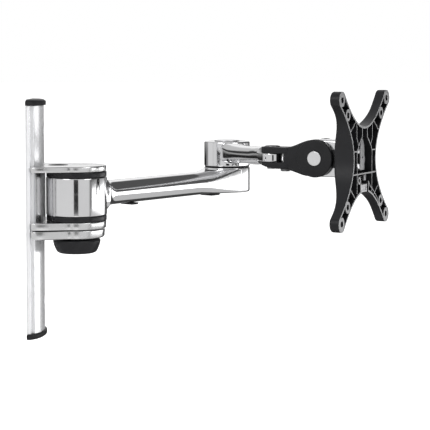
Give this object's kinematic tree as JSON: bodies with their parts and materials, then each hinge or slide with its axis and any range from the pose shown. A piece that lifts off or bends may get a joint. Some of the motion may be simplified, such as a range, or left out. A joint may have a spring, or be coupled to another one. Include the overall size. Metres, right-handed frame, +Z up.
{
  "type": "full motion tv wall mount",
  "caption": "Full motion screen mount: wall channel, sliding clamp carriage, folding double arm, pan and tilt head and a rotating VESA 75/100 plate.",
  "frame": {"origin": "centre of the flat back face of the wall channel, which goes against the wall", "axes": "+X out from the wall, +Z up, +Y sideways, along the wall"},
  "size_m": [0.306, 0.228, 0.2055],
  "materials": {
    "anodised": "satin anodised",
    "polished": "polished casting",
    "steel": "plated",
    "black_plastic": "moulded",
    "black_paint": "satin black powder coat on a casting",
    "nylon": "dark bearing nylon"
  },
  "bodies": {
    "wall_rail": {"wall_channel": "anodised", "channel_cap_top": "black_plastic", "channel_cap_bottom": "black_plastic"},
    "carriage": {"carriage_bracket": "polished", "bracket_plug": "black_plastic", "shoulder_axle": "steel"},
    "clamp": {"clamp_plate": "polished", "knob_washer": "steel"},
    "knob": {"clamp_knob": "black_plastic", "knob_stud": "steel"},
    "first_arm": {"lower_arm": "polished", "shoulder_bush_top": "nylon", "shoulder_bush_bottom": "nylon", "cable_clip_1": "black_plastic", "cable_clip_2": "black_plastic", "elbow_bush_low": "nylon", "elbow_pin": "steel", "elbow_nut": "steel"},
    "second_arm": {"upper_arm": "polished", "elbow_bush_high": "nylon", "elbow_washer": "nylon", "elbow_cap": "polished", "pan_bush": "nylon"},
    "head": {"head_yoke": "black_paint", "pan_pin": "steel", "pan_nut": "steel", "pan_stop_screw": "steel", "tilt_axle": "steel", "tilt_cap_near": "polished", "tilt_cap_far": "polished"},
    "tilt_block": {"tilt_knuckle": "polished", "tilt_bush": "nylon", "roll_screw": "steel", "roll_washer": "steel"},
    "screen_plate": {"vesa_plate": "black_paint", "release_slider": "steel", "release_spring": "steel"},
    "latch": {"release_button": "polished"}
  },
  "joints": [
    {"name": "height_slide", "type": "slide", "parent": "wall_rail", "child": "carriage", "axis": [0, 0, 1], "range_m": [-0.06, 0.045]},
    {"name": "clamp_lift", "type": "slide", "parent": "carriage", "child": "clamp", "axis": [0, 0, 1], "range_m": [0, 0.0006]},
    {"name": "knob_turn", "type": "hinge", "parent": "clamp", "child": "knob", "pos_m": [0.0393, 0, -0.022], "axis": [0, 0, 1], "range_deg": [0, 180]},
    {"name": "shoulder_swing", "type": "hinge", "parent": "carriage", "child": "first_arm", "pos_m": [0.0393, 0, 0.018], "axis": [0, 0, 1], "range_deg": [-140, 39]},
    {"name": "elbow_swing", "type": "hinge", "parent": "first_arm", "child": "second_arm", "pos_m": [0.16625, 0.15455, 0.032], "axis": [0, 0, 1], "range_deg": [-14, 256]},
    {"name": "head_pan", "type": "hinge", "parent": "second_arm", "child": "head", "pos_m": [0.2043, 0.0372, 0.0479], "axis": [0, 0, -1], "range_deg": [-40, 130]},
    {"name": "screen_tilt", "type": "hinge", "parent": "head", "child": "tilt_block", "pos_m": [0.2444, 0.01677, 0.0487], "axis": [0.454, 0.891, 0], "range_deg": [-20, 20]},
    {"name": "screen_roll", "type": "hinge", "parent": "tilt_block", "child": "screen_plate", "pos_m": [0.28012, -0.00143, 0.0487], "axis": [0.891, -0.454, 0], "range_deg": [-90, 90]},
    {"name": "release_press", "type": "slide", "parent": "screen_plate", "child": "latch", "axis": [0, 0, 1], "range_m": [0, 0.002], "stiffness_N_per_m": 600, "springref_m": -0.003, "deforming": ["release_spring"]}
  ],
  "couplings": [
    {"joint": "knob_turn", "follows": "clamp_lift", "rad_per_m": 5236}
  ]
}
